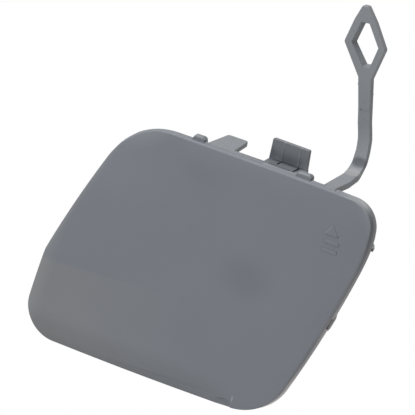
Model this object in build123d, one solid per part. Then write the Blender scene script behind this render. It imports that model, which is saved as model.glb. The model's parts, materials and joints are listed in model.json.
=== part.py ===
from build123d import *
import math
import os

# Bumper tow hook cover, one moulding. Millimetres.
# Frame: X to the right seen from the front, Z up, Y back into the bumper.
# Origin: middle of the plane that the back edge of the rim sits on.

# Virtual corners of the face outline, before they are rounded
top_edge_z = 37.3
top_left_x = -27.1
top_right_x = 51.4
top_edge_fall = 0.9
right_knee_x = 50.0
right_knee_z = 15.8
bottom_edge_z = -37.5
bottom_left_x = -53.5
bottom_right_x = 30.3
bottom_edge_rise = 1.1
crease_x = -48.35
crease_z = -8.9

# How far each side bows outwards, and the corner radii; the right side has no corner
# at its knee, so its upper part bows as far as it must to run on smoothly
top_bow = 0.7
lower_right_bow = 1.09
bottom_bow = 0.36
lower_left_bow = 0.26
upper_left_bow = 0.83
top_left_radius = 22.9
top_right_radius = 7.6
bottom_right_radius = 17.8
bottom_left_radius = 10.4
crease_corner_radius = 8.0

# Crowned face with a crease that dies out to the right
rim_depth = 2.0
crown_rise = 1.2
crown_centre_x = 12.0
crown_half_width = 60.0
upright_crown_rise = 0.7
upright_crown_half_height = 40.0
crease_angle = 5.2
crease_softness = 2.4
crease_reach_x = 6.0
front_edge_radius = 0.4

# The sides flare out to the rim's back edge, so they look hollow-ground
flare = 0.4
flare_depth = 1.1
side_draft = 3.4

# Wall, rim and back ribs
face_wall = 2.1
rim_wall = 2.0
rib_wall = 1.0
rib_pitch = 26.0
rib_count = 2
rib_set_back = 0.4

# Pry relief along the bottom edge, with a half-moon pocket at its deep end
relief_start_x = -25.0
relief_end_x = 19.8
relief_height = 4.8
relief_depth = 0.45
relief_start_share = 0.4
pocket_width = 5.2
pocket_height = 2.4
pocket_depth = 0.6

# Two short catch lips on the top of the rim
lip_thickness = 1.3
lip_height = 3.3
lip_end_slope = 0.7
left_lip_x = -8.4
left_lip_length = 4.3
left_lip_top = 38.85
right_lip_x = 25.2
right_lip_length = 4.8
right_lip_top = 38.5

# Flat locating tongue
tongue_left_x = -3.45
tongue_root_width = 8.0
tongue_tip_width = 6.7
tongue_length = 12.0
tongue_rise = 0.2
tongue_thickness = 1.6
tongue_corner_radius = 1.0
tongue_root_flare = 0.8

# Low ledge from the tongue to the clip, with a groove between it and the rim
ledge_left_x = 4.0
ledge_rise = 0.15
ledge_depth = 1.3
ledge_thickness = 1.4
groove_left_x = 7.0
groove_right_x = 23.4
groove_start = 0.1
groove_width = 0.42
groove_depth = 0.65

# Snap clip: a shelf with two slots and an upright fluted blade
clip_left_x = 13.4
clip_width = 12.0
shelf_drop = 0.3
shelf_thickness = 1.4
shelf_length = 5.8
blade_thickness = 1.25
blade_height = 6.2
blade_taper = 0.2
blade_corner_radius = 0.5
blade_edge_radius = 0.25
left_slot = (3.8, 0.55, 3.0)
right_slot = (9.7, 0.75, 1.5)
flute_offsets = (4.0, 9.3)
flute_height = 0.28
flute_width = 1.9
flute_step = 0.15
flute_top_gap = 0.8
gusset_height = 4.0
gusset_wall = 1.1

# Tether strap: back, round a bend, then up with a sideways lean
strap_left_x = 34.24
strap_width = 3.8
strap_thickness = 2.0
strap_edge_radius = 0.25
strap_proud = 0.15
strap_run = 12.3
strap_twist_start = 7.5
strap_bend_radius = 7.0
strap_bend_turn = 63.0
strap_sweep_radius = 24.1
strap_lean = 10.4
strap_root_sink = 1.2
strap_step_height = 3.65
strap_step = 0.1
strap_back_step = 0.04
strap_step_width = 3.7
witness_nub_radius = 0.4
right_nub_height = 8.25
left_nub_height = 11.05

# Diamond eye: heights above the bend, widths across
eye_shift = -0.3
eye_skew = 0.12
neck_height = 12.85
neck_width = 4.05
widest_height = 22.2
widest_width = 12.7
shoulder_height = 29.35
shoulder_width = 6.4
crown_height = 33.35
crown_width = 1.7
eye_corner_radius = 0.6
eye_side_radius = 1.2
hole_shift = -0.16
hole_top_height = 28.95
hole_top_width = 2.5
hole_widest_height = 22.4
hole_widest_width = 8.4
hole_bottom_height = 15.95
hole_bottom_width = 2.1
hole_bottom_shift = 0.36
hole_corner_radius = 0.5
hole_land_depth = 1.35
hole_land_draft = 0.2
hole_back_draft = 0.7

# Snap hooks that stand behind the rim; each has its share of the side's length, its
# width, where its catch starts, how far that reaches past the outline, and its land
hook_inset = 1.7
hook_wall = 1.4
hook_root = 1.9
hook_catch_y = 3.8
hook_reach = -0.8
side_catch_y = 0.0
side_catch_reach = 0.2
hook_length = 6.9
wide_hook = 5.2
side_catch = 4.9
narrow_hook = 3.3
slim_hook = 2.0
side_slot_share = 0.334
side_slot_length = 3.8
side_slot_depth = 1.1
side_slot_radius = 0.5
upper_right_hook = (0.685, slim_hook, hook_catch_y, hook_reach, 0.35)
lower_right_hook = (side_slot_share, side_catch, side_catch_y, side_catch_reach, 0.9)
right_bottom_hook = (0.30, wide_hook, hook_catch_y, hook_reach, 0.9)
left_bottom_hook = (0.78, wide_hook, hook_catch_y, hook_reach, 0.9)
lower_left_hook = (0.60, narrow_hook, hook_catch_y, hook_reach, 0.9)
upper_left_hook = (0.30, wide_hook, hook_catch_y, hook_reach, 0.9)

section_reach = 48.0
section_back_y = 9.0
front_clear_y = -14.0
embed = 1.0


def corner_points():
    """Virtual corners, clockwise from the top left."""
    return [
        (top_left_x, top_edge_z),
        (top_right_x, top_edge_z - top_edge_fall),
        (right_knee_x, right_knee_z),
        (bottom_right_x, bottom_edge_z + bottom_edge_rise),
        (bottom_left_x, bottom_edge_z),
        (crease_x, crease_z),
    ]


def bowed_side(start, end, bow):
    """Shallow arc between two corners that bows to the left of its direction."""
    a = Vector(*start)
    b = Vector(*end)
    along = (b - a).normalized()
    outward = Vector(-along.Y, along.X)
    return ThreePointArc(a, (a + b) * 0.5 + outward * bow, b)


def smooth_bow(start, knee, end, bow):
    """Bow of the side before a knee that makes it tangent to the bowed side after it."""
    before = Vector(*knee) - Vector(*start)
    after = Vector(*end) - Vector(*knee)
    turn = before.get_angle(after) - 2 * math.degrees(math.atan(2 * bow / after.length))
    return before.length / 2 * math.tan(math.radians(turn / 2))


def outline_sides():
    """The six bowed sides, clockwise from the top."""
    points = corner_points()
    upper_right_bow = smooth_bow(*points[1:4], lower_right_bow)
    ends = points[1:] + points[:1]
    bows = (
        top_bow,
        upper_right_bow,
        lower_right_bow,
        bottom_bow,
        lower_left_bow,
        upper_left_bow,
    )
    return [bowed_side(start, end, bow) for start, end, bow in zip(points, ends, bows)]


def outline_face():
    """Rounded face outline, in sketch coordinates (X, Z)."""
    face = make_face(Wire(outline_sides()).edges())
    top_left, top_right, _, bottom_right, bottom_left, crease = corner_points()
    rounded = (
        (top_left, top_left_radius),
        (top_right, top_right_radius),
        (bottom_right, bottom_right_radius),
        (bottom_left, bottom_left_radius),
        (crease, crease_corner_radius),
    )
    for point, radius in rounded:
        corner = face.vertices().sort_by_distance(Vector(*point))[0]
        face = fillet(corner, radius)
    return face


def inset_face(face, depth):
    """The outline drawn in by a depth; all its sides are outward arcs."""
    arcs = []
    for edge in face.edges():
        points = [edge @ share for share in (0, 0.5, 1)]
        arcs.append(ThreePointArc(*[p + (edge.arc_center - p).normalized() * depth for p in points]))
    return make_face(Wire(arcs).edges())


def crease_share(x):
    """1 at the left end of the crease, falling smoothly to 0 where it dies out."""
    t = (crease_reach_x - x) / (crease_reach_x - crease_x)
    t = min(max(t, 0.0), 1.0)
    return t * t * (3 - 2 * t)


def face_depth(x, z):
    """Distance of the front surface from the seat plane."""
    crown = crown_rise * (1 - ((x - crown_centre_x) / crown_half_width) ** 2)
    upright = upright_crown_rise * (1 - (z / upright_crown_half_height) ** 2)
    slope = math.tan(math.radians(crease_angle / 2))
    away = math.hypot(z - crease_z, crease_softness) - crease_softness
    half_span = (top_edge_z - crease_z) / 2
    return rim_depth + crown + upright + crease_share(x) * slope * (half_span - away)


def face_section(x):
    """Upright slice through the block that lies behind the front surface."""
    near_crease = [crease_z + step for step in (-8, -4, -1.6, 0, 1.6, 4, 8)]
    levels = [-section_reach, -30.0] + near_crease + [14.0, 32.0, section_reach]
    front = Spline([Vector(-face_depth(x, z), z) for z in levels])
    top = front @ 1
    bottom = front @ 0
    back = Polyline(top, (section_back_y, section_reach), (section_back_y, -section_reach), bottom)
    return Plane.YZ.offset(x) * make_face(Curve([front, back]).edges())


def front_block():
    """Block behind the crowned and creased front surface."""
    stations = (-62, -46, -30, -14, 2, 30, 62)
    return loft([face_section(x) for x in stations])


def upright_prism(face, back_y):
    """Prism of an outline from behind the seat plane to well in front of the face."""
    return extrude(Plane.XZ.offset(-back_y) * face, back_y - front_clear_y)


def flared_prism(outline):
    """Block whose sides flare out to the rim's back edge, which is the outline."""
    front_inset = flare + (-front_clear_y - flare_depth) * math.tan(math.radians(side_draft))
    sections = [
        Plane.XZ * outline,
        Plane.XZ.offset(flare_depth) * inset_face(outline, flare),
        Plane.XZ.offset(-front_clear_y) * inset_face(outline, front_inset),
    ]
    return loft(sections, ruled=True)


def rib_grid():
    """Low crossing ribs, as bars that reach past the outline."""
    middle = (rib_count - 1) / 2
    bars = []
    for index in range(rib_count):
        shift = (index - middle) * rib_pitch
        bars.append(Pos(0, 0, shift) * Box(200, 40, rib_wall))
        bars.append(Pos(shift, 0, 0) * Box(rib_wall, 40, 200))
    return [Pos(0, -20 - rib_set_back, 0) * bar for bar in bars]


def face_shell(outline, block):
    """Hollow face plate with its rim and back ribs, front edge rounded."""
    solid = flared_prism(outline) & block
    face = solid.faces().sort_by(Axis.Y)[0]
    front_edges = face.edges()
    solid = fillet(front_edges, front_edge_radius)
    inner = inset_face(outline, rim_wall)
    hollow = upright_prism(inner, embed) & (Pos(0, face_wall, 0) * block)
    return solid - (hollow - rib_grid())


def relief_slice(x, share):
    """Upright slice of the relief: it rolls off the face towards the bottom edge."""
    high = bottom_edge_z + relief_height * (relief_start_share + (1 - relief_start_share) * share)
    low = bottom_edge_z - 2
    roll = []
    for z in (low, (low + high) / 2, high):
        fall = relief_depth * share * ((high - z) / (high - bottom_edge_z)) ** 2
        roll.append(Vector(-face_depth(x, z) + fall, z))
    surface = ThreePointArc(*roll)
    front = Polyline(surface @ 1, (front_clear_y, high), (front_clear_y, low), surface @ 0)
    return Plane.YZ.offset(x) * make_face(Curve([surface, front]).edges())


def pry_relief():
    """Soft roll-off along the bottom edge that deepens to the right, and ends in a step."""
    return loft([relief_slice(relief_start_x, 0.05), relief_slice(relief_end_x, 1.0)])


def pry_pocket():
    """Half-moon pocket at the deep end, its floor rising to the bottom edge."""
    centre_x = relief_end_x - pocket_width / 2 - 0.2
    edge_y = -face_depth(relief_end_x, bottom_edge_z) + relief_depth
    floor = Plane(
        origin=(centre_x, edge_y, bottom_edge_z + bottom_edge_rise / 2),
        x_dir=(1, 0, 0),
        z_dir=(0, -pocket_height, pocket_depth),
    )
    return extrude(floor * Ellipse(pocket_width / 2, pocket_height), 6)


def catch_lip(left_x, length, top):
    """Short lip that stands up behind the top of the rim, with sloping ends."""
    profile = Rectangle(lip_thickness + embed, lip_height)
    profile = fillet(profile.vertices().group_by(Axis.Y)[-1], lip_thickness * 0.4)
    place = Pos((lip_thickness - embed) / 2, top - lip_height / 2)
    lip = extrude(Plane.YZ.offset(left_x) * place * profile, length)
    window = Polyline(
        (left_x, top - lip_height),
        (left_x, top - 2 * lip_end_slope),
        (left_x + lip_end_slope, top),
        (left_x + length - lip_end_slope, top),
        (left_x + length, top - lip_end_slope),
        (left_x + length, top - lip_height),
        close=True,
    )
    return lip & extrude(Plane.XZ.offset(-4) * make_face(window.edges()), 8)


def tongue():
    """Flat tongue, flared at its root and tapered on its right."""
    right_root = tongue_left_x + tongue_root_width
    right_tip = tongue_left_x + tongue_tip_width
    plan = Polyline(
        (tongue_left_x - tongue_root_flare, -embed),
        (tongue_left_x - tongue_root_flare, 0),
        (tongue_left_x, tongue_root_flare),
        (tongue_left_x, tongue_length),
        (right_tip, tongue_length),
        (right_root, 0),
        (right_root, -embed),
        close=True,
    )
    shape = make_face(plan.edges())
    tips = shape.vertices().group_by(Axis.Y)[-1]
    shape = fillet(tips, tongue_corner_radius)
    top = top_edge_z + tongue_rise
    solid = extrude(Plane.XY.offset(top - tongue_thickness) * shape, tongue_thickness)
    rims = solid.faces().sort_by(Axis.Z)
    return fillet(rims[0].edges() + rims[-1].edges(), strap_edge_radius)


def ledge():
    """Low ledge behind the rim, between the tongue and the clip."""
    length = clip_left_x + embed - ledge_left_x
    place = Pos(
        ledge_left_x + length / 2,
        (ledge_depth - embed) / 2,
        top_edge_z + ledge_rise - ledge_thickness / 2,
    )
    return place * Box(length, ledge_depth + embed, ledge_thickness)


def relief_groove():
    """Narrow groove between the rim and what stands behind it."""
    length = groove_right_x - groove_left_x
    place = Pos(
        (groove_left_x + groove_right_x) / 2,
        groove_start + groove_width / 2,
        top_edge_z + ledge_rise,
    )
    return place * Box(length, groove_width, 2 * groove_depth)


def shelf_top():
    return top_edge_z - shelf_drop


def clip_shelf():
    """Shelf between the rim and the blade, with its two slots."""
    length = shelf_length + blade_thickness + embed
    place = Pos(
        clip_left_x + clip_width / 2,
        length / 2 - embed,
        shelf_top() - shelf_thickness / 2,
    )
    shelf = place * Box(clip_width, length, shelf_thickness)
    for offset_x, width, start_y in (left_slot, right_slot):
        slot = Box(width, shelf_length - start_y, shelf_thickness * 3)
        shelf -= Pos(clip_left_x + offset_x, (shelf_length + start_y) / 2, shelf_top()) * slot
    return shelf


def clip_blade():
    """Upright blade, narrower at its top, with rounded edges and two sawtooth flutes."""
    bottom = shelf_top() - shelf_thickness
    top = shelf_top() + blade_height
    right_x = clip_left_x + clip_width
    front = Polyline(
        (clip_left_x, bottom),
        (clip_left_x, top),
        (right_x - blade_taper, top - blade_taper),
        (right_x, bottom),
        close=True,
    )
    shape = make_face(front.edges())
    shape = fillet(shape.vertices().group_by(Axis.Y)[-2:], blade_corner_radius)
    plane = Plane.XZ.offset(-(shelf_length + blade_thickness))
    blade = extrude(plane * shape, blade_thickness)
    sides = blade.faces().sort_by(Axis.Y)
    rims = [e for e in sides[0].edges() + sides[-1].edges() if e.center().Z > bottom + embed]
    blade = fillet(rims, blade_edge_radius)
    for offset_x in flute_offsets:
        x = clip_left_x + offset_x
        flute = Polyline(
            (x - flute_width, shelf_length + flute_step),
            (x - flute_step, shelf_length - flute_height),
            (x, shelf_length - flute_height),
            (x + flute_step, shelf_length + flute_step),
            close=True,
        )
        foot = Plane.XY.offset(shelf_top() - embed / 2)
        blade += extrude(foot * make_face(flute.edges()), blade_height + (embed - flute_top_gap) / 2)
    return blade


def clip_gussets():
    """Two triangular gussets that carry the shelf from the back of the rim."""
    low = shelf_top() - shelf_thickness
    gussets = []
    for offset_x in (gusset_wall / 2, clip_width - gusset_wall / 2):
        side = Polyline(
            (-embed, low + 0.2),
            (shelf_length + blade_thickness, low + 0.2),
            (shelf_length + blade_thickness, low),
            (-embed, low - gusset_height),
            close=True,
        )
        left = clip_left_x + offset_x - gusset_wall / 2
        gussets.append(extrude(Plane.YZ.offset(left) * make_face(side.edges()), gusset_wall))
    return gussets


def strap_section(reach, lean):
    """Cross-section of the level run, turned by a lean."""
    centre = (strap_left_x + strap_width / 2, reach, strap_middle_z())
    return (
        Location(Plane(origin=centre, x_dir=(1, 0, 0), z_dir=(0, 1, 0)))
        * Rot(0, 0, -lean)
        * RectangleRounded(strap_width, strap_thickness, strap_edge_radius)
    )


def strap_middle_z():
    return top_edge_z + strap_proud - strap_thickness / 2


def strap_root():
    """Level run from inside the rim, which twists into the lean before the bend."""
    start = strap_section(-strap_root_sink, 0)
    run = extrude(start, strap_twist_start + strap_root_sink)
    ends = [strap_section(strap_twist_start, 0), strap_section(strap_run, strap_lean)]
    return run + loft(ends, ruled=True)


def strap_course(turn):
    """Reach and lift of the strap's middle where it has turned by an angle."""
    bent = math.radians(min(turn, strap_bend_turn))
    swept = math.radians(turn)
    reach = strap_run + strap_bend_radius * math.sin(bent)
    lift = strap_bend_radius * (1 - math.cos(bent))
    if swept > bent:
        reach += strap_sweep_radius * (math.sin(swept) - math.sin(bent))
        lift += strap_sweep_radius * (math.cos(bent) - math.cos(swept))
    return reach, lift


def strap_side(offset):
    """One side of the strap seen from the side: a tight bend, a slow sweep, a straight."""
    points = []
    for turn in (0, strap_bend_turn / 2, strap_bend_turn, (strap_bend_turn + 90) / 2, 90):
        reach, lift = strap_course(turn)
        angle = math.radians(turn)
        points.append((reach - offset * math.sin(angle), lift + offset * math.cos(angle)))
    end_reach, end_lift = points[4]
    top = (end_reach, end_lift + strap_step_height + embed)
    return [ThreePointArc(*points[:3]), ThreePointArc(*points[2:]), Line(points[4], top)]


def strap_bend():
    """Strap from its bend to just above its step, leaning as a whole."""
    front = strap_side(strap_thickness / 2)
    back = strap_side(-strap_thickness / 2)
    foot = Line(front[0] @ 0, back[0] @ 0)
    head = Line(front[2] @ 1, back[2] @ 1)
    shape = make_face(Wire([foot, *front, head, *back]).edges())
    solid = extrude(Plane.YZ.offset(-strap_width / 2) * shape, strap_width)
    sides = solid.faces().sort_by(Axis.X)
    ends = (foot.center(), head.center())
    rims = [
        e
        for e in sides[0].edges() + sides[-1].edges()
        if all(abs(e.center().Y - end.X) + abs(e.center().Z - end.Y) > embed / 2 for end in ends)
    ]
    solid = fillet(rims, strap_edge_radius)
    return strap_lean_location() * solid


def strap_lean_location():
    return Pos(strap_left_x + strap_width / 2, 0, strap_middle_z()) * Rot(0, -strap_lean, 0)


def strap_plane():
    """Plane of the upright strap: x across it, y up along it, z to the front."""
    reach, lift = strap_course(90)
    upright = Location(Plane(origin=(0, reach, lift), x_dir=(1, 0, 0), z_dir=(0, -1, 0)))
    return Plane(strap_lean_location() * upright)


def skewed(shift, width, height):
    """Left and right points of a width across the strap, left one the higher."""
    half = width / 2
    return (
        (shift - half, height + eye_skew * half),
        (shift + half, height - eye_skew * half),
    )


def eye_outline():
    """Outline of the strap above its step, with the diamond."""
    foot = skewed(0, strap_step_width, strap_step_height)
    neck = skewed(0, neck_width, neck_height)
    widest = skewed(eye_shift, widest_width, widest_height)
    shoulder = skewed(eye_shift, shoulder_width, shoulder_height)
    crown = skewed(eye_shift, crown_width, crown_height)
    levels = (foot, neck, widest, shoulder, crown)
    left = [level[0] for level in levels]
    right = [level[1] for level in reversed(levels)]
    shape = make_face(Polyline(*left, *right, close=True).edges())
    top = [v for v in shape.vertices() if v.Y > shoulder_height + 1]
    shape = fillet(top, eye_corner_radius)
    sides = [v for v in shape.vertices() if abs(v.X - eye_shift) > shoulder_width * 0.75]
    return fillet(sides, eye_side_radius)


def eye_hole(draft):
    """Hole outline with its corners rounded, drawn in by the draft."""
    limb_run = (hole_widest_width - hole_top_width) / 2
    limb_angle = math.atan2(limb_run, hole_top_height - hole_widest_height)
    side = 2 * draft / math.cos(limb_angle)
    end = side - 2 * draft * math.tan(limb_angle)
    bottom = skewed(hole_bottom_shift, hole_bottom_width - end, hole_bottom_height + draft)
    widest = skewed(hole_shift, hole_widest_width - side, hole_widest_height)
    top = skewed(hole_shift, hole_top_width - end, hole_top_height - draft)
    points = Polyline(bottom[0], widest[0], top[0], top[1], widest[1], bottom[1], close=True)
    shape = make_face(points.edges())
    return fillet(shape.vertices(), hole_corner_radius)


def eye_cut():
    """Hole that narrows gently from the front, then sharply at the back."""
    front = strap_thickness / 2 + strap_step
    depths = (
        (front + embed, 0),
        (front, 0),
        (front - hole_land_depth, hole_land_draft),
        (-strap_thickness / 2, hole_back_draft),
        (-strap_thickness / 2 - embed, hole_back_draft),
    )
    plane = strap_plane()
    outlines = [plane.offset(depth) * eye_hole(draft) for depth, draft in depths]
    return [loft(pair, ruled=True) for pair in zip(outlines, outlines[1:])]


def strap_upright():
    """Upright strap above its step, with the diamond eye and the witness nubs."""
    plane = strap_plane()
    half = strap_thickness / 2
    body = extrude(
        plane.offset(-half - strap_back_step) * eye_outline(),
        strap_thickness + strap_step + strap_back_step,
    )
    faces = body.faces().sort_by(Axis.Y)
    body = fillet(faces[0].edges() + faces[-1].edges(), strap_edge_radius)
    nub_reach = neck_width / 2 - witness_nub_radius * 0.6
    for x, y in ((nub_reach, right_nub_height), (-nub_reach, left_nub_height)):
        disc = Pos(x, y) * Circle(witness_nub_radius)
        body += extrude(plane.offset(-half / 2) * disc, strap_thickness * 0.6)
    return body - eye_cut()


def side_frame(side, along):
    """Plane across one side of the rim: x outwards, y back into the bumper."""
    point = side.position_at(along)
    tangent = side.tangent_at(along)
    outward = Vector(-tangent.Y, 0, tangent.X)
    origin = Vector(point.X, 0, point.Y)
    return Plane(origin=origin, x_dir=outward, z_dir=Vector(-outward.Z, 0, outward.X))


def side_slot():
    """Slot in the back edge of the right rim, in front of its lower hook."""
    plane = side_frame(outline_sides()[2], side_slot_share)
    block = Box(4 * rim_wall, 2 * side_slot_depth, side_slot_length)
    block = fillet(block.edges().filter_by(Axis.X), side_slot_radius)
    return plane * block


def snap_hook(side, place):
    """Hook behind the rim, at a share of the length of one side."""
    along, width, catch_y, reach, land = place
    plane = side_frame(side, along)
    face = -hook_inset
    profile = Polyline(
        (face - hook_wall, -hook_root),
        (face - hook_wall, hook_length),
        (face - hook_wall / 3, hook_length),
        (reach, catch_y + land),
        (reach, catch_y),
        (face, catch_y),
        (face, -hook_root),
        close=True,
    )
    return extrude(plane.offset(-width / 2) * make_face(profile.edges()), width)


def snap_hooks():
    """Hooks along the right, bottom and left sides."""
    _, upper_right, lower_right, bottom, lower_left, upper_left = outline_sides()
    places = (
        (upper_right, upper_right_hook),
        (lower_right, lower_right_hook),
        (bottom, right_bottom_hook),
        (bottom, left_bottom_hook),
        (lower_left, lower_left_hook),
        (upper_left, upper_left_hook),
    )
    return [snap_hook(side, place) for side, place in places]


def build_cover():
    outline = outline_face()
    plate = face_shell(outline, front_block())
    plate = plate - [pry_relief(), pry_pocket(), side_slot()]
    fittings = [
        catch_lip(left_lip_x, left_lip_length, left_lip_top),
        catch_lip(right_lip_x, right_lip_length, right_lip_top),
        tongue(),
        ledge(),
        clip_shelf(),
        clip_blade(),
        strap_root(),
        strap_bend(),
        strap_upright(),
    ]
    body = plate
    for fitting in fittings + clip_gussets() + snap_hooks():
        body += fitting
    return body - relief_groove()


os.makedirs("parts", exist_ok=True)
cover = build_cover()
export_step(cover, "parts/cover.step")
print("cover", round(cover.volume), "mm3", len(cover.solids()), "solid")
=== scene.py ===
import json
import math
import bpy
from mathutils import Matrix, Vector

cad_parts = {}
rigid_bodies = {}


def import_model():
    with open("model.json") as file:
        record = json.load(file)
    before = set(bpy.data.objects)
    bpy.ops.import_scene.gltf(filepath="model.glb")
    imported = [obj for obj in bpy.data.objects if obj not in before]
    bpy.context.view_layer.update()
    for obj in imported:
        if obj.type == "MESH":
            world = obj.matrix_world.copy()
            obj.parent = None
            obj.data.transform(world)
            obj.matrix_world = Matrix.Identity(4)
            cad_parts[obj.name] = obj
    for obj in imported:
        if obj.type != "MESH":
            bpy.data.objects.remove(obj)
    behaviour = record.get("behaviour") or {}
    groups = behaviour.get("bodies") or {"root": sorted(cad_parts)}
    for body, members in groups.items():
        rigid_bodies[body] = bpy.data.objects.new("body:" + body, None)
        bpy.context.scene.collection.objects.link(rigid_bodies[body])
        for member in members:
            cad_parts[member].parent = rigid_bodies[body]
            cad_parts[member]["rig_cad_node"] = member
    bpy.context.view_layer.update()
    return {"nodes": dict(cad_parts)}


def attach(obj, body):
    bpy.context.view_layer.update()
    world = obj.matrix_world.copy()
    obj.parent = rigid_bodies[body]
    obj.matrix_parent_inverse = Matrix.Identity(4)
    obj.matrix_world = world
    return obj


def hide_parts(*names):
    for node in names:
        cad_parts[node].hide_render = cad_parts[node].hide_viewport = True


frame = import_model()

mm = 0.001

scene = bpy.context.scene
scene.view_settings.view_transform = "Standard"


# selection helpers

def pickOnly(piece):
    bpy.ops.object.select_all(action="DESELECT")
    piece.select_set(True)
    bpy.context.view_layer.objects.active = piece


def settle(piece):
    pickOnly(piece)
    bpy.ops.object.transform_apply(location=True, rotation=True, scale=True)


def applyModifiers(piece):
    pickOnly(piece)
    for name in [m.name for m in piece.modifiers]:
        bpy.ops.object.modifier_apply(modifier=name)


# node helpers

def addNode(tree, kind, place, **values):
    node = tree.nodes.new(kind)
    node.location = place
    for key, value in values.items():
        setattr(node, key, value)
    return node


def addSocket(group, name, direction, kind, value=None, low=None, high=None):
    socket = group.interface.new_socket(name=name, in_out=direction, socket_type=kind)
    if value is not None:
        socket.default_value = value
    if low is not None:
        socket.min_value = low
        socket.max_value = high
    return socket


def openGroup(name):
    group = bpy.data.node_groups.new(name, "ShaderNodeTree")
    start = addNode(group, "NodeGroupInput", (-900, 0))
    end = addNode(group, "NodeGroupOutput", (700, 0))
    return group, start, end


def useGroup(tree, group, place, label):
    node = addNode(tree, "ShaderNodeGroup", place, node_tree=group)
    node.label = label
    return node


def smoothStep(tree, place):
    return addNode(tree, "ShaderNodeMapRange", place, interpolation_type="SMOOTHSTEP")


# shared effects

def makeGrainGroup():
    group, start, end = openGroup("satinGrain")
    addSocket(group, "Position", "INPUT", "NodeSocketVector")
    addSocket(group, "Scale", "INPUT", "NodeSocketFloat", 3000.0, 0.0, 20000.0)
    addSocket(group, "Height", "INPUT", "NodeSocketFloat", 0.00001, 0.0, 0.001)
    addSocket(group, "Normal", "OUTPUT", "NodeSocketVector")
    addSocket(group, "Value", "OUTPUT", "NodeSocketFloat")
    noise = addNode(group, "ShaderNodeTexNoise", (-600, 0))
    noise.inputs["Detail"].default_value = 3.0
    noise.inputs["Roughness"].default_value = 0.6
    bump = addNode(group, "ShaderNodeBump", (-200, 0))
    group.links.new(start.outputs["Position"], noise.inputs["Vector"])
    group.links.new(start.outputs["Scale"], noise.inputs["Scale"])
    group.links.new(noise.outputs["Fac"], bump.inputs["Height"])
    group.links.new(start.outputs["Height"], bump.inputs["Distance"])
    group.links.new(bump.outputs["Normal"], end.inputs["Normal"])
    group.links.new(noise.outputs["Fac"], end.inputs["Value"])
    return group


def makeCloudGroup():
    group, start, end = openGroup("toneClouds")
    addSocket(group, "Position", "INPUT", "NodeSocketVector")
    addSocket(group, "Scale", "INPUT", "NodeSocketFloat", 40.0, 0.0, 5000.0)
    addSocket(group, "Low", "INPUT", "NodeSocketFloat", 0.9, 0.0, 2.0)
    addSocket(group, "High", "INPUT", "NodeSocketFloat", 1.1, 0.0, 2.0)
    addSocket(group, "Tone", "OUTPUT", "NodeSocketFloat")
    noise = addNode(group, "ShaderNodeTexNoise", (-600, 0))
    noise.inputs["Detail"].default_value = 2.0
    step = smoothStep(group, (-300, 0))
    step.inputs["From Min"].default_value = 0.3    # the noise seldom leaves 0.3 to 0.7
    step.inputs["From Max"].default_value = 0.7
    group.links.new(start.outputs["Position"], noise.inputs["Vector"])
    group.links.new(start.outputs["Scale"], noise.inputs["Scale"])
    group.links.new(noise.outputs["Fac"], step.inputs["Value"])
    group.links.new(start.outputs["Low"], step.inputs["To Min"])
    group.links.new(start.outputs["High"], step.inputs["To Max"])
    group.links.new(step.outputs["Result"], end.inputs["Tone"])
    return group


def makeSpotGroup():
    group, start, end = openGroup("softSpot")
    addSocket(group, "Position", "INPUT", "NodeSocketVector")
    addSocket(group, "Centre", "INPUT", "NodeSocketVector")
    addSocket(group, "Radius", "INPUT", "NodeSocketVector")
    addSocket(group, "Edge", "INPUT", "NodeSocketFloat", 0.5, 0.0, 1.0)
    addSocket(group, "Mask", "OUTPUT", "NodeSocketFloat")
    shift = addNode(group, "ShaderNodeVectorMath", (-650, 0), operation="SUBTRACT")
    share = addNode(group, "ShaderNodeVectorMath", (-450, 0), operation="DIVIDE")
    length = addNode(group, "ShaderNodeVectorMath", (-250, 0), operation="LENGTH")
    inner = addNode(group, "ShaderNodeMath", (-250, -200), operation="SUBTRACT")
    inner.inputs[0].default_value = 1.0
    step = smoothStep(group, (0, 0))
    step.inputs["From Max"].default_value = 1.0
    step.inputs["To Min"].default_value = 1.0
    step.inputs["To Max"].default_value = 0.0
    group.links.new(start.outputs["Position"], shift.inputs[0])
    group.links.new(start.outputs["Centre"], shift.inputs[1])
    group.links.new(shift.outputs[0], share.inputs[0])
    group.links.new(start.outputs["Radius"], share.inputs[1])
    group.links.new(share.outputs[0], length.inputs[0])
    group.links.new(start.outputs["Edge"], inner.inputs[1])
    group.links.new(inner.outputs[0], step.inputs["From Min"])
    group.links.new(length.outputs["Value"], step.inputs["Value"])
    group.links.new(step.outputs["Result"], end.inputs["Mask"])
    return group


def makeEdgeGroup():
    group, start, end = openGroup("edgeBand")
    addSocket(group, "Position", "INPUT", "NodeSocketVector")
    addSocket(group, "Outward", "INPUT", "NodeSocketVector")
    addSocket(group, "Reach", "INPUT", "NodeSocketFloat", 0.04, -1.0, 1.0)
    addSocket(group, "Width", "INPUT", "NodeSocketFloat", 0.001, 0.0, 0.1)
    addSocket(group, "Mask", "OUTPUT", "NodeSocketFloat")
    dot = addNode(group, "ShaderNodeVectorMath", (-650, 0), operation="DOT_PRODUCT")
    near = addNode(group, "ShaderNodeMath", (-450, -200), operation="SUBTRACT")
    step = smoothStep(group, (-150, 0))
    group.links.new(start.outputs["Position"], dot.inputs[0])
    group.links.new(start.outputs["Outward"], dot.inputs[1])
    group.links.new(start.outputs["Reach"], near.inputs[0])
    group.links.new(start.outputs["Width"], near.inputs[1])
    group.links.new(dot.outputs["Value"], step.inputs["Value"])
    group.links.new(near.outputs[0], step.inputs["From Min"])
    group.links.new(start.outputs["Reach"], step.inputs["From Max"])
    group.links.new(step.outputs["Result"], end.inputs["Mask"])
    return group


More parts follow.
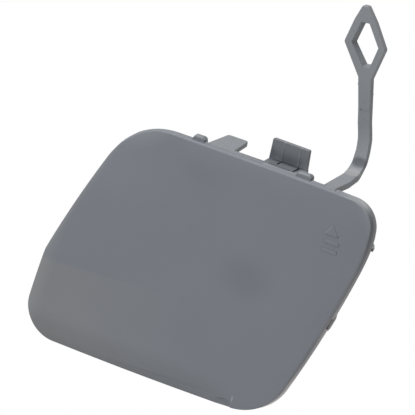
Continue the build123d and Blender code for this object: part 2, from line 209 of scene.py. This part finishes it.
def makeTintGroup():
    group, start, end = openGroup("tintWhereMasked")
    addSocket(group, "Colour", "INPUT", "NodeSocketColor")
    addSocket(group, "Tint", "INPUT", "NodeSocketColor")
    addSocket(group, "Mask", "INPUT", "NodeSocketFloat", 0.0, 0.0, 1.0)
    addSocket(group, "Colour", "OUTPUT", "NodeSocketColor")
    mix = addNode(group, "ShaderNodeMix", (-200, 0), data_type="RGBA", blend_type="MULTIPLY")
    mix.clamp_result = False
    group.links.new(start.outputs["Mask"], mix.inputs[0])
    group.links.new(start.outputs["Colour"], mix.inputs[6])
    group.links.new(start.outputs["Tint"], mix.inputs[7])
    group.links.new(mix.outputs[2], end.inputs["Colour"])
    return group


satinGrain = makeGrainGroup()
toneClouds = makeCloudGroup()
softSpot = makeSpotGroup()
edgeBand = makeEdgeGroup()
tintWhereMasked = makeTintGroup()
print("shared node groups ready")


# moulded plastic

plastic = {
    "colour": (0.1605, 0.1735, 0.1955, 1.0),
    "roughness": 0.46,
    "specular": 0.42,
    "cloudScale": 55.0,          # patches of about 18 mm
    "cloudLow": 0.988,
    "cloudHigh": 1.012,
    "grainScale": 3800.0,        # about a quarter of a millimetre
    "grainHeight": 0.000012,
    "roughnessSwing": 0.08,
}

# local painted light and shade, and a few small marks of the plastic: centre and radius in
# millimetres, how soft the edge is, and the tint
spots = {
    # painted shade of two shallow sink marks in the face
    "sinkMarkShade": ((17.4, -3.7, 3.9), (12.0, 4.0, 9.0), 1.0, (0.88, 0.895, 0.90)),
    "upperSinkMarkShade": ((-2.4, -3.7, 29.6), (10.0, 4.0, 5.0), 1.0, (0.95, 0.95, 0.96)),
    # snap clip: painted shade on the shelf, along its shadow lines, on the blade and at its foot;
    # painted light in the flutes
    "shelfTopShade": ((19.4, 4.0, 37.0), (6.8, 3.2, 0.6), 0.15, (0.60, 0.61, 0.63)),
    "shelfShadowLineLeft": ((16.2, 1.9, 37.0), (3.4, 0.42, 0.6), 0.6, (0.42, 0.43, 0.45)),
    "shelfShadowLineRight": ((21.0, 1.6, 37.0), (3.0, 0.42, 0.6), 0.6, (0.42, 0.43, 0.45)),
    "bladeFrontShade": ((19.4, 6.2, 41.6), (9.0, 2.2, 4.9), 0.3, (0.75, 0.75, 0.77)),
    "bladeFoot": ((19.4, 6.0, 37.2), (9.0, 1.6, 4.2), 0.95, (0.55, 0.57, 0.60)),
    "bladeFootLeftShade": ((13.6, 6.0, 38.4), (2.6, 1.6, 3.4), 0.95, (0.60, 0.62, 0.66)),
    "leftFluteLight": ((17.45, 5.7, 41.2), (0.24, 0.7, 4.6), 0.35, (1.45, 1.45, 1.45)),
    "rightFluteLight": ((22.75, 5.7, 41.0), (0.24, 0.7, 4.6), 0.35, (1.45, 1.45, 1.45)),
    # strap root, right lip and strap: painted highlights and painted shade
    "rootFrontLight": ((36.15, -1.22, 37.0), (2.5, 0.2, 0.9), 0.15, (1.75, 1.72, 1.66)),
    "rootRightLight": ((38.1, -0.6, 36.9), (0.5, 0.8, 0.9), 0.4, (1.4, 1.36, 1.3)),
    "lipFrontLight": ((27.6, -1.0, 37.9), (3.2, 0.3, 0.9), 0.2, (1.10, 1.08, 1.05)),
    "lipEndShade": ((30.1, 0.2, 37.7), (0.5, 1.3, 0.7), 0.4, (0.72, 0.64, 0.58)),
    "bendHighlight": ((36.0, 14.5, 37.6), (3.2, 2.6, 1.2), 0.35, (1.26, 1.23, 1.18)),
    "bendShade": ((35.9, 17.4, 40.2), (3.6, 2.6, 2.1), 0.6, (0.45, 0.47, 0.50)),
    # nicks, tongue and pry pocket; the pocket's arc is painted shadow and the relief's end wall a
    # painted highlight
    "lowerNick": ((42.55, -2.4, -5.1), (0.55, 1.2, 0.3), 0.6, (1.6, 1.55, 1.45)),
    "upperNick": ((48.3, -2.4, 10.4), (0.45, 1.2, 0.3), 0.6, (1.5, 1.45, 1.4)),
    "tonguePin": ((-0.6, 9.5, 37.5), (0.7, 0.7, 0.5), 0.5, (0.86, 0.86, 0.86)),
    "pocketShadowLeft": ((15.7, -3.1, -34.35), (1.3, 1.0, 0.34), 0.8, (0.76, 0.75, 0.76)),
    "pocketShadowMiddle": ((17.2, -3.1, -34.08), (1.3, 1.0, 0.34), 0.8, (0.74, 0.73, 0.74)),
    "pocketShadowRight": ((18.7, -3.1, -34.2), (1.3, 1.0, 0.34), 0.8, (0.78, 0.77, 0.78)),
    "reliefEndHighlight": ((20.04, -3.4, -33.2), (0.26, 0.9, 1.4), 0.7, (1.9, 1.85, 1.75)),
    # painted light on the upper left of the face and a painted highlight on the rim's top right
    # corner
    "upperLeftLight": ((-30.0, -3.8, 25.0), (24.0, 4.0, 18.0), 1.0, (1.06, 1.06, 1.05)),
    "cornerLight": ((48.4, -1.2, 37.2), (4.4, 1.3, 4.0), 0.7, (1.34, 1.29, 1.22)),
    "strapSpeck": ((33.64, 20.2, 51.96), (0.24, 0.9, 0.24), 0.6, (0.55, 0.55, 0.57)),
    "witnessDark": ((31.9, 20.2, 54.5), (0.35, 0.9, 0.45), 0.7, (0.62, 0.60, 0.58)),
    # direction mark: painted shade in the triangle's pit and painted light on the lower bar's left
    "markPitShade": ((42.45, -3.8, 25.0), (0.38, 0.9, 0.34), 0.5, (0.35, 0.38, 0.35)),
    "markBarLight": ((38.8, -3.8, 23.0), (0.8, 0.9, 0.5), 0.8, (1.18, 1.18, 1.18)),
}

# painted light and shade in bands along the sides: outward direction, distance out and width in
# millimetres, tint, and a second direction, distance and width that limit the band
bands = {
    # painted light under the crease and along the left edges, painted shade towards the bottom
    # edge
    "underCreaseLight": ((0.058, 0.0, -1.0), 10.0, 1.6, (1.10, 1.06, 1.01),
                    ((-1.0, 0.0, 0.0), 40.0, 45.0)),
    "bottomShade": ((0.0, 0.0, -1.0), 33.5, 6.5, (0.885, 0.875, 0.865),
                    ((-1.0, 0.0, 0.0), -2.0, 25.0)),
    "bottomEdgeShade": ((0.0, 0.0, -1.0), 37.0, 3.0, (0.90, 0.90, 0.89),
                   ((-1.0, 0.0, 0.0), -2.0, 25.0)),
    "lowerLeftEdgeLight": ((-0.984, 0.0, 0.178), 45.9, 5.5, (1.20, 1.18, 1.13), None),
    "upperLeftEdgeLight": ((-0.909, 0.0, 0.417), 40.6, 2.2, (1.18, 1.15, 1.11), None),
    # right and lower right sides, by depth: a painted highlight on the front edge, painted shade
    # on the side wall and painted light on its outer strip
    "frontEdgeHighlight": ((0.0, 1.0, -0.0085), -3.2, 0.15, (1.25, 1.22, 1.19),
                 ((1.0, 0.0, 0.0), 43.5, 4.0)),
    "sideShade": ((0.0, 1.0, -0.0085), -2.88, 0.22, (0.56, 0.56, 0.57),
                  ((0.944, 0.0, -0.331), 37.5, 5.0)),
    "sideStripLight": ((0.0, 1.0, 0.0), -0.6, 0.9, (1.90, 1.82, 1.72),
                    ((0.944, 0.0, -0.331), 39.0, 4.0)),
    "lowerStripLight": ((0.0, 1.0, 0.0), -1.7, 0.9, (1.60, 1.52, 1.46),
                   ((0.6, 0.0, -0.8), 29.0, 14.0)),
    "cornerStripLight": ((0.0, 1.0, 0.0), -1.7, 0.9, (1.60, 1.51, 1.46),
                    ((0.6, 0.0, -0.8), 42.0, 6.0)),
    # painted light on the rim top and on everything behind the rim
    "topRimLight": ((0.0, 1.0, 0.0), -2.5, 0.4, (1.20, 1.19, 1.16),
                ((0.0, 0.0, 1.0), 35.0, 7.0)),
    "behindRimLight": ((0.0, 1.0, 0.0), 0.6, 0.3, (1.10, 1.08, 1.05), None),
}


def bandMask(tree, position, band, place, label):
    outward, reach, width = band
    node = useGroup(tree, edgeBand, place, label)
    node.inputs["Outward"].default_value = outward
    node.inputs["Reach"].default_value = reach * mm
    node.inputs["Width"].default_value = width * mm
    tree.links.new(position, node.inputs["Position"])
    return node.outputs["Mask"]


def makePlastic():
    made = bpy.data.materials.new("satinGreyPlastic")
    made.use_nodes = True
    tree = made.node_tree
    shader = tree.nodes["Principled BSDF"]
    shader.location = (1500, 0)
    tree.nodes["Material Output"].location = (1800, 0)
    place = addNode(tree, "ShaderNodeTexCoord", (-1900, 0))
    position = place.outputs["Object"]

    clouds = useGroup(tree, toneClouds, (-1500, 300), "broad tone")
    clouds.inputs["Scale"].default_value = plastic["cloudScale"]
    clouds.inputs["Low"].default_value = plastic["cloudLow"]
    clouds.inputs["High"].default_value = plastic["cloudHigh"]
    tree.links.new(position, clouds.inputs["Position"])
    tone = addNode(tree, "ShaderNodeVectorMath", (-1250, 300), operation="SCALE")
    tone.inputs[0].default_value = plastic["colour"][:3]
    tree.links.new(clouds.outputs["Tone"], tone.inputs["Scale"])
    colour = tone.outputs[0]

    column = -1000
    # painted light and shade, and a few marks of the plastic, multiplied into the colour spot by
    # spot
    for name, (centre, radius, edge, tint) in spots.items():
        spot = useGroup(tree, softSpot, (column, -300), name)
        spot.inputs["Centre"].default_value = [value * mm for value in centre]
        spot.inputs["Radius"].default_value = [value * mm for value in radius]
        spot.inputs["Edge"].default_value = edge
        tree.links.new(position, spot.inputs["Position"])
        tinted = useGroup(tree, tintWhereMasked, (column, 100), name)
        tinted.inputs["Tint"].default_value = (*tint, 1.0)
        tree.links.new(colour, tinted.inputs["Colour"])
        tree.links.new(spot.outputs["Mask"], tinted.inputs["Mask"])
        colour = tinted.outputs["Colour"]
        column += 200
    # painted light and shade in bands, multiplied into the colour
    for name, (outward, reach, width, tint, limit) in bands.items():
        mask = bandMask(tree, position, (outward, reach, width), (column, -300), name)
        if limit:
            limitMask = bandMask(tree, position, limit, (column, -600), name + " limit")
            both = addNode(tree, "ShaderNodeMath", (column, -150), operation="MULTIPLY")
            tree.links.new(mask, both.inputs[0])
            tree.links.new(limitMask, both.inputs[1])
            mask = both.outputs[0]
        tinted = useGroup(tree, tintWhereMasked, (column, 100), name)
        tinted.inputs["Tint"].default_value = (*tint, 1.0)
        tree.links.new(colour, tinted.inputs["Colour"])
        tree.links.new(mask, tinted.inputs["Mask"])
        colour = tinted.outputs["Colour"]
        column += 200
    tree.links.new(colour, shader.inputs["Base Color"])

    grain = useGroup(tree, satinGrain, (1000, -500), "fine grain")
    grain.inputs["Scale"].default_value = plastic["grainScale"]
    grain.inputs["Height"].default_value = plastic["grainHeight"]
    tree.links.new(position, grain.inputs["Position"])
    tree.links.new(grain.outputs["Normal"], shader.inputs["Normal"])
    gloss = addNode(tree, "ShaderNodeMapRange", (1200, -250))
    gloss.inputs["To Min"].default_value = plastic["roughness"] - plastic["roughnessSwing"]
    gloss.inputs["To Max"].default_value = plastic["roughness"] + plastic["roughnessSwing"]
    tree.links.new(grain.outputs["Value"], gloss.inputs["Value"])
    tree.links.new(gloss.outputs["Result"], shader.inputs["Roughness"])
    shader.inputs["Specular IOR Level"].default_value = plastic["specular"]
    return made


def makeFlatPlastic(name, tint):
    made = bpy.data.materials.new(name)
    made.use_nodes = True
    shader = made.node_tree.nodes["Principled BSDF"]
    colour = [value * share for value, share in zip(plastic["colour"], (*tint, 1))]
    shader.inputs["Base Color"].default_value = colour
    shader.inputs["Roughness"].default_value = plastic["roughness"]
    shader.inputs["Specular IOR Level"].default_value = plastic["specular"]
    return made


plasticMaterial = makePlastic()
print("plastic ready")


# small moves of the skin, in millimetres: the zone is the span of x, y and z that
# a move takes, and a fade is where it starts and where it is full

far = 1000.0

nudges = {
    "topEdge": {
        "zone": ((-far, far), (-far, -0.05), (32.5, far)),
        "kept": (                  # lips, ledge and strap root stay
            ((-far, 31.0), (-1.5, far), (37.4, far)),
            ((33.5, 38.8), (-1.5, far), (37.4, far)),
        ),
        "rise": 0.45,
        "heightFade": (32.5, 36.0),
        "cornerFade": (49.0, 44.0),
        "frontY": -2.3,            # full rise in front of this
        "depth": 2.9,
    },
    "upperLeft": {
        "zone": ((-far, far), (-far, 0.1), (33.0, far)),
        "rise": 0.15,
        "leftFade": (-38.0, -26.0),
        "rightFade": (-8.0, -20.0),
    },
    "rightRim": {                  # back edge, above the upper hook
        "zone": ((46.0, far), (-2.2, 0.02), (-far, far)),
        "flare": 0.22,
        "depthFade": (-2.2, -0.4),
        "lowerFade": (19.0, 24.0),
        "upperFade": (32.0, 27.0),
    },
    "levelRun": {
        "zone": ((30.0, 41.0), (3.0, far), (33.0, 42.0)),
        "spread": 0.16,            # share of its width
        "middle": 36.15,
        "leftShare": 1.5,
        "frontFade": (1.0, 5.0),
        "backFade": (20.0, 13.0),
    },
    "eye": {
        "zone": ((-far, far), (15.0, far), (70.0, far)),
        "rise": 0.25,
        "topFade": (79.8, 83.0),
        "shift": 0.12,
        "heightFade": (70.0, 78.0),
        "rightFade": (29.0, 30.0),
    },
    "strap": {
        "zone": ((30.0, far), (7.5, far), (33.0, far)),
        "sway": (                  # height and shift to the right
            (37.4, -0.37), (39.5, 0.06), (41.0, 0.25), (44.0, 0.38), (46.5, 0.43), (49.0, 0.15),
            (51.5, -0.03), (54.0, 0.08), (60.0, 0.1), (66.0, 0.05), (70.0, 0.0),
        ),
        "depthFade": (7.5, 11.5),
    },
    "leftLip": {
        "zone": ((-5.0, -2.0), (-1.5, 2.0), (37.3, far)),
        "shift": -0.4,
    },
    "bladeFoot": {
        "zone": ((12.9, 14.2), (5.2, 7.6), (34.0, far)),
        "shift": -0.28,
        "heightFade": (44.0, 37.0),
    },
    "rootStep": {
        "zone": ((34.0, 38.3), (-1.26, -1.14), (36.9, far)),
        "rise": -0.16,
    },
    "catch": {
        "zone": ((38.0, 47.0), (0.02, far), (-6.0, 3.0)),
        "centre": (44.5, -2.03),
        "along": (0.328, 0.945),   # direction of the rim, in x and z
        "share": 0.69,             # of its length along the rim
    },
    "upperHook": {
        "zone": ((46.0, 52.0), (0.02, far), (20.5, 24.5)),
        "shift": (0.16, -0.55),
        "middle": 22.4,
        "share": 0.52,             # of its height
    },
    "pocket": {
        "zone": ((14.3, 19.75), (-3.4, -2.0), (-36.4, -34.2)),
        "faceY": -3.29,            # the face in front of it, at faceZ
        "faceZ": -34.4,
        "faceSlope": 0.153,
        "depthShare": 0.6,
        "leftFade": (14.2, 17.5),
        "foot": -36.4,
        "heightShare": 1.2,
        "rightExtra": 0.35,        # more height to the right
        "rightFade": (17.0, 19.6),
        "shift": 0.82,
        "widthShare": 0.967,
    },
}


def ramp(value, fade):
    start, end = fade
    return min(max((value - start) / (end - start), 0.0), 1.0)


def inside(point, zone):
    return all(low < value < high for value, (low, high) in zip(point, zone))


def moveTopEdge(nudge, x, y, z):
    if any(inside((x, y, z), zone) for zone in nudge["kept"]):
        return x, y, z
    share = 1.0 if y < nudge["frontY"] else -y / nudge["depth"]
    share *= ramp(z, nudge["heightFade"]) * ramp(x, nudge["cornerFade"])
    return x, y, z + nudge["rise"] * share


def moveUpperLeft(nudge, x, y, z):
    return x, y, z + nudge["rise"] * ramp(x, nudge["leftFade"]) * ramp(x, nudge["rightFade"])


def moveRightRim(nudge, x, y, z):
    share = ramp(y, nudge["depthFade"]) * ramp(z, nudge["lowerFade"]) * ramp(z, nudge["upperFade"])
    return x + nudge["flare"] * share, y, z


def moveLevelRun(nudge, x, y, z):
    offset = x - nudge["middle"]
    share = nudge["spread"] * (nudge["leftShare"] if offset < 0 else 1.0)
    return x + offset * share * ramp(y, nudge["frontFade"]) * ramp(y, nudge["backFade"]), y, z


def moveEye(nudge, x, y, z):
    z += nudge["rise"] * ramp(z, nudge["topFade"])
    x += nudge["shift"] * ramp(z, nudge["heightFade"]) * ramp(x, nudge["rightFade"])
    return x, y, z


def swayAt(steps, height):
    if height <= steps[0][0]:
        return steps[0][1]
    for (low, first), (high, second) in zip(steps, steps[1:]):
        if height <= high:
            return first + (second - first) * (height - low) / (high - low)
    return 0.0


def moveStrap(nudge, x, y, z):
    return x + swayAt(nudge["sway"], z) * ramp(y, nudge["depthFade"]), y, z


def moveLeftLip(nudge, x, y, z):
    return x + nudge["shift"], y, z


def moveBladeFoot(nudge, x, y, z):
    return x + nudge["shift"] * ramp(z, nudge["heightFade"]), y, z


def moveRootStep(nudge, x, y, z):
    return x, y, z + nudge["rise"]


def moveCatch(nudge, x, y, z):
    centre, along = nudge["centre"], nudge["along"]
    offset = (x - centre[0]) * along[0] + (z - centre[1]) * along[1]
    change = offset * (nudge["share"] - 1)
    return x + change * along[0], y, z + change * along[1]


def moveUpperHook(nudge, x, y, z):
    middle = nudge["middle"]
    return x + nudge["shift"][0], y, middle + (z - middle) * nudge["share"] + nudge["shift"][1]


def movePocket(nudge, x, y, z):
    face = nudge["faceY"] - (z - nudge["faceZ"]) * nudge["faceSlope"]
    y = face + (y - face) * nudge["depthShare"] * ramp(x, nudge["leftFade"])
    height = nudge["heightShare"] + nudge["rightExtra"] * ramp(x, nudge["rightFade"])
    z = nudge["foot"] + (z - nudge["foot"]) * height
    return nudge["shift"] + nudge["widthShare"] * x, y, z


moves = {                          # in this order
    "topEdge": moveTopEdge,
    "upperLeft": moveUpperLeft,
    "rightRim": moveRightRim,
    "levelRun": moveLevelRun,
    "eye": moveEye,
    "strap": moveStrap,
    "leftLip": moveLeftLip,
    "bladeFoot": moveBladeFoot,
    "rootStep": moveRootStep,
    "catch": moveCatch,
    "upperHook": moveUpperHook,
    "pocket": movePocket,
}


def nudgedPoint(point):
    for name, move in moves.items():
        if inside(point, nudges[name]["zone"]):
            point = move(nudges[name], *point)
    return point


def nudgeSkin(skin):
    moved = 0
    for vertex in skin.data.vertices:
        start = [value / mm for value in vertex.co]
        end = nudgedPoint(start)
        moved += list(end) != start
        vertex.co = [value * mm for value in end]
    skin.data.update()
    print("skin nudged at", moved, "of", len(skin.data.vertices), "points")


# the cover itself

cover = {
    "weld": 0.004 * mm,
    "smoothAngle": math.radians(41),
}


def makeCover():
    cadCover = frame["nodes"]["cover"]
    pickOnly(cadCover)
    bpy.ops.object.duplicate(linked=False)
    skin = bpy.context.object
    skin.name = "coverSkin"
    del skin["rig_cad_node"]
    bpy.ops.object.mode_set(mode="EDIT")
    bpy.ops.mesh.select_all(action="SELECT")
    bpy.ops.mesh.remove_doubles(threshold=cover["weld"])
    bpy.ops.mesh.customdata_custom_splitnormals_clear()
    bpy.ops.object.mode_set(mode="OBJECT")
    nudgeSkin(skin)
    bpy.ops.object.shade_smooth_by_angle(angle=cover["smoothAngle"])
    skin.data.materials.clear()
    skin.data.materials.append(plasticMaterial)
    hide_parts("cover")
    return skin


coverSkin = makeCover()
print("cover skin", len(coverSkin.data.polygons), "faces")


# raised direction mark

mark = {
    "centreX": 40.45 * mm,
    "triangleTop": 27.7 * mm,
    "triangleHeight": 3.1 * mm,
    "triangleWidth": 4.6 * mm,
    "barHeights": (22.55 * mm, 20.1 * mm),
    "barShifts": (0.35 * mm, 0.15 * mm),
    "barLength": 5.1 * mm,
    "barWidth": 1.05 * mm,
    "raised": 0.16 * mm,
    "sunk": 0.12 * mm,
    "slope": 0.15 * mm,
    "cornerRound": 0.22 * mm,
    "barEndRound": 0.45,           # share of the bar's width
    "startY": -8 * mm,             # in front of the face, before it is laid on
    "frontDepth": 0.12 * mm,       # edges this near the front get the slope
    "flatLimit": -0.93,            # faces that look less to the front are slopes
    "slopeWarmth": 0.96,           # share of blue in a slope's tint
    "pitX": 42.0 * mm,
    "pitZ": (24.2 * mm, 25.3 * mm),
}

# painted light and shade on each slope, by the way it faces: lit and shaded flat copies of the
# plastic
slopeLightAndShade = {
    "markTriangle": {"left": 1.62, "right": 1.02, "top": 1.0, "bottom": 0.80, "pit": 0.28},
    "markBar1": {"left": 1.25, "right": 0.74, "top": 0.80, "bottom": 0.76},
    "markBar2": {"left": 1.12, "right": 0.70, "top": 0.66, "bottom": 1.2},
}


def roundCorners(piece, size, segments):
    pickOnly(piece)
    bpy.ops.object.mode_set(mode="EDIT")
    bpy.ops.mesh.select_all(action="SELECT")
    bpy.ops.mesh.bevel(offset=size, segments=segments, affect="VERTICES")
    bpy.ops.object.mode_set(mode="OBJECT")


def facing(centre, normal):
    if centre.x > mark["pitX"] and mark["pitZ"][0] < centre.z < mark["pitZ"][1]:
        return "pit"
    if abs(normal.x) > abs(normal.z):
        return "left" if normal.x < 0 else "right"
    return "top" if normal.z > 0 else "bottom"


def raiseFromSkin(piece, name):
    piece.name = name
    wrap = piece.modifiers.new("ontoFace", "SHRINKWRAP")
    wrap.target = coverSkin
    wrap.wrap_method = "PROJECT"
    wrap.use_project_y = True
    wrap.use_project_z = False
    wrap.use_negative_direction = False
    wrap.use_positive_direction = True
    applyModifiers(piece)
    pickOnly(piece)
    bpy.ops.transform.translate(value=(0, mark["sunk"], 0))
    settle(piece)
    thick = piece.modifiers.new("thickness", "SOLIDIFY")
    thick.thickness = mark["raised"] + mark["sunk"]
    thick.offset = 1.0
    applyModifiers(piece)
    front = min(vertex.co.y for vertex in piece.data.vertices)
    for edge in piece.data.edges:
        ends = [piece.data.vertices[index].co.y for index in edge.vertices]
        edge.select = max(ends) < front + mark["frontDepth"]
    pickOnly(piece)
    bpy.context.tool_settings.mesh_select_mode = (False, True, False)
    bpy.ops.object.mode_set(mode="EDIT")
    bpy.ops.mesh.bevel(offset=mark["slope"], segments=1, affect="EDGES")
    bpy.ops.object.mode_set(mode="OBJECT")
    piece.data.materials.append(plasticMaterial)
    # slopes get lit or shaded flat copies of the plastic as painted light and shade, the pit
    # painted shade
    sides = list(slopeLightAndShade[name])
    for side, tint in slopeLightAndShade[name].items():
        slopeShading = (tint, tint, tint * mark["slopeWarmth"])
        piece.data.materials.append(makeFlatPlastic(name + side.capitalize(), slopeShading))
    for polygon in piece.data.polygons:
        if polygon.normal.y > mark["flatLimit"]:
            polygon.material_index = 1 + sides.index(facing(polygon.center, polygon.normal))
    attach(piece, "root")
    return piece


def makeTriangle():
    height = mark["triangleHeight"]
    radius = height / 1.5
    bpy.ops.object.select_all(action="DESELECT")
    bpy.ops.mesh.primitive_circle_add(
        vertices=3,
        radius=radius,
        fill_type="NGON",
        location=(mark["centreX"], mark["startY"], mark["triangleTop"] - radius),
        rotation=(math.radians(90), 0, 0),
    )
    piece = bpy.context.object
    piece.scale.x = mark["triangleWidth"] / (math.sqrt(3) * radius)
    settle(piece)
    roundCorners(piece, mark["cornerRound"], 3)
    return raiseFromSkin(piece, "markTriangle")


def makeBar(index):
    centreX = mark["centreX"] + mark["barShifts"][index]
    bpy.ops.object.select_all(action="DESELECT")
    bpy.ops.mesh.primitive_plane_add(
        size=1,
        location=(centreX, mark["startY"], mark["barHeights"][index]),
        rotation=(math.radians(90), 0, 0),
    )
    piece = bpy.context.object
    piece.scale = (mark["barLength"], mark["barWidth"], 1)
    settle(piece)
    roundCorners(piece, mark["barWidth"] * mark["barEndRound"], 4)
    return raiseFromSkin(piece, "markBar%d" % (index + 1))


markPieces = [makeTriangle(), makeBar(0), makeBar(1)]
print("direction mark", [len(piece.data.polygons) for piece in markPieces])


# backdrop and light

stage = {
    "floorDrop": 0.32,             # low enough that the photo's view misses it
    "floorSize": 6.0,
    "floorColour": (0.82, 0.82, 0.82, 1.0),
    "worldLevel": 0.4,
}


def makeFloor():
    bpy.ops.object.select_all(action="DESELECT")
    bpy.ops.mesh.primitive_plane_add(size=stage["floorSize"], location=(0, 0, -stage["floorDrop"]))
    floor = bpy.context.object
    floor.name = "paleFloor"
    made = bpy.data.materials.new("paleFloorPaint")
    made.use_nodes = True
    tree = made.node_tree
    tree.nodes.clear()
    path = addNode(tree, "ShaderNodeLightPath", (-600, 300))
    paint = addNode(tree, "ShaderNodeBsdfDiffuse", (-300, 100))
    paint.inputs["Color"].default_value = stage["floorColour"]
    white = addNode(tree, "ShaderNodeEmission", (-300, -100))
    white.inputs["Strength"].default_value = 1.0
    mix = addNode(tree, "ShaderNodeMixShader", (0, 0))
    out = addNode(tree, "ShaderNodeOutputMaterial", (200, 0))
    tree.links.new(path.outputs["Is Camera Ray"], mix.inputs["Fac"])
    tree.links.new(paint.outputs[0], mix.inputs[1])
    tree.links.new(white.outputs[0], mix.inputs[2])
    tree.links.new(mix.outputs[0], out.inputs[0])
    floor.data.materials.append(made)


def makeWorld():
    world = bpy.data.worlds.new("studioWhite")
    world.use_nodes = True
    scene.world = world
    tree = world.node_tree
    tree.nodes.clear()
    path = addNode(tree, "ShaderNodeLightPath", (-600, 300))
    soft = addNode(tree, "ShaderNodeBackground", (-300, 100))
    soft.inputs["Strength"].default_value = stage["worldLevel"]
    soft.inputs["Color"].default_value = (1, 1, 1, 1)
    white = addNode(tree, "ShaderNodeBackground", (-300, -100))
    white.inputs["Color"].default_value = (1, 1, 1, 1)
    white.inputs["Strength"].default_value = 1.0
    mix = addNode(tree, "ShaderNodeMixShader", (0, 0))
    out = addNode(tree, "ShaderNodeOutputWorld", (200, 0))
    tree.links.new(path.outputs["Is Camera Ray"], mix.inputs["Fac"])
    tree.links.new(soft.outputs[0], mix.inputs[1])
    tree.links.new(white.outputs[0], mix.inputs[2])
    tree.links.new(mix.outputs[0], out.inputs[0])


lamps = {
    "overhead": {"place": (-0.25, -0.1, 1.3), "size": 1.0, "watts": 17.0, "colour": (1, 1, 1)},
    "front": {"place": (-0.35, -1.35, 0.5), "size": 1.0, "watts": 7.0, "colour": (0.97, 0.99, 1)},
    "right": {"place": (1.3, -0.2, -0.1), "size": 0.8, "watts": 1.2, "colour": (1, 0.86, 0.74)},
}


def makeLamps():
    for name, lamp in lamps.items():
        data = bpy.data.lights.new(name + "Soft", "AREA")
        data.shape = "SQUARE"
        data.size = lamp["size"]
        data.energy = lamp["watts"]
        data.color = lamp["colour"]
        holder = bpy.data.objects.new(name + "Soft", data)
        scene.collection.objects.link(holder)
        holder.location = lamp["place"]
        holder.rotation_euler = (-Vector(lamp["place"])).to_track_quat("-Z", "Y").to_euler()


makeFloor()
makeWorld()
makeLamps()
print("stage and lamps ready")


# camera at the photograph's angle

photoView = {
    "azimuth": math.radians(25.145),
    "elevation": math.radians(20.02),
    "roll": math.radians(10.44),
    "distance": 0.9,
    "frameWidth": 0.11857,       # width of the picture where the cover is
    "aim": (-0.87 * mm, 1.51 * mm, 18.21 * mm),
    "clip": (0.05, 20.0),
}


def makeCamera():
    data = bpy.data.cameras.new("photoCamera")
    camera = bpy.data.objects.new("photoCamera", data)
    scene.collection.objects.link(camera)
    azimuth, elevation = photoView["azimuth"], photoView["elevation"]
    back = Vector((
        math.sin(azimuth) * math.cos(elevation),
        -math.cos(azimuth) * math.cos(elevation),
        math.sin(elevation),
    ))
    camera.location = Vector(photoView["aim"]) + back * photoView["distance"]
    level = (-back).to_track_quat("-Z", "Y").to_matrix().to_4x4()
    camera.rotation_euler = level.to_euler()
    camera.rotation_euler.rotate_axis("Z", photoView["roll"])
    data.lens = data.sensor_width * photoView["distance"] / photoView["frameWidth"]
    data.clip_start, data.clip_end = photoView["clip"]
    scene.camera = camera


makeCamera()
print("camera ready")
